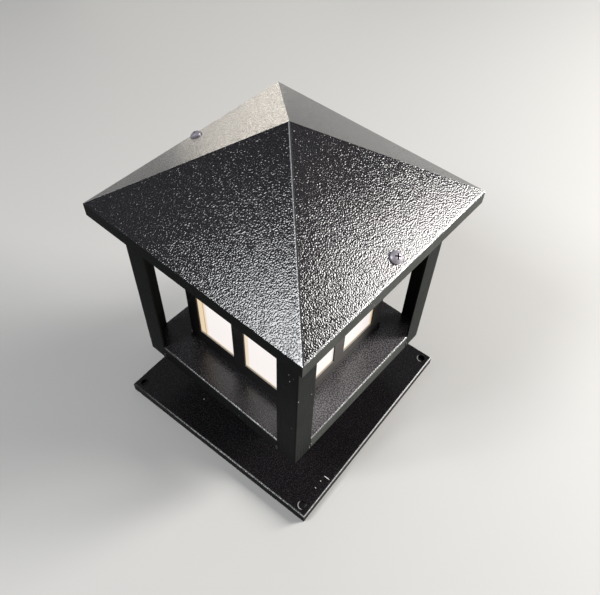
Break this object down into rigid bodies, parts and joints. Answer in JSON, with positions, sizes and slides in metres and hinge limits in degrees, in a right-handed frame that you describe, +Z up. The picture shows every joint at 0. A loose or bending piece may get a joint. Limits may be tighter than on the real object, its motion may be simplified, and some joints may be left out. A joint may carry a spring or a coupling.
{
  "type": "gate light",
  "caption": "Square pillar-top gate light: folded black sheet lantern with opal windows, angle posts and a pyramid roof on a drilled base plate.",
  "frame": {"origin": "centre of the base plate, level with the lower edge of its turned-down rim", "axes": "+Z up through the roof's peak; X and Y square to the base plate's sides; -Y is the front, and the roof screws are on the +X and -X slopes"},
  "size_m": [0.2096, 0.2096, 0.2985],
  "materials": {
    "black_texture_coat": "fine wrinkled black powder coat on steel sheet, semi-gloss",
    "black_smooth_coat": "smooth semi-gloss black powder coat on folded steel",
    "opal_acrylic": "opal white acrylic sheet",
    "black_rubber": "moulded",
    "dark_zinc": "dark zinc plating",
    "brass": "plain",
    "white_phenolic": "moulded phenolic",
    "steatite": "fired steatite",
    "bulb_opal": "opal bulb with a plated cap"
  },
  "bodies": {
    "root": {"base_plate": "black_texture_coat", "cable_grommet": "black_rubber", "neck": "black_texture_coat", "neck_cap": "black_texture_coat", "nipple": "brass", "nipple_nuts": "brass", "nipple_washers": "dark_zinc", "deck": "black_texture_coat", "post_front": "black_smooth_coat", "post_right": "black_smooth_coat", "post_back": "black_smooth_coat", "post_left": "black_smooth_coat", "top_frame": "black_texture_coat", "roof": "black_texture_coat", "roof_tab_right": "black_texture_coat", "roof_tab_left": "black_texture_coat", "roof_screws": "dark_zinc", "roof_screw_nuts": "dark_zinc", "lantern_floor": "black_texture_coat", "lantern_front": "black_texture_coat", "lantern_back": "black_texture_coat", "lantern_right": "black_texture_coat", "lantern_left": "black_texture_coat", "lantern_top": "black_texture_coat", "diffuser_front": "opal_acrylic", "diffuser_back": "opal_acrylic", "diffuser_right": "opal_acrylic", "diffuser_left": "opal_acrylic", "holder_cap": "white_phenolic", "holder_insert": "steatite", "holder_contact": "brass", "holder_terminals": "brass", "holder_shell": "brass", "holder_sleeve": "white_phenolic", "bulb": "bulb_opal"}
  },
  "joints": []
}
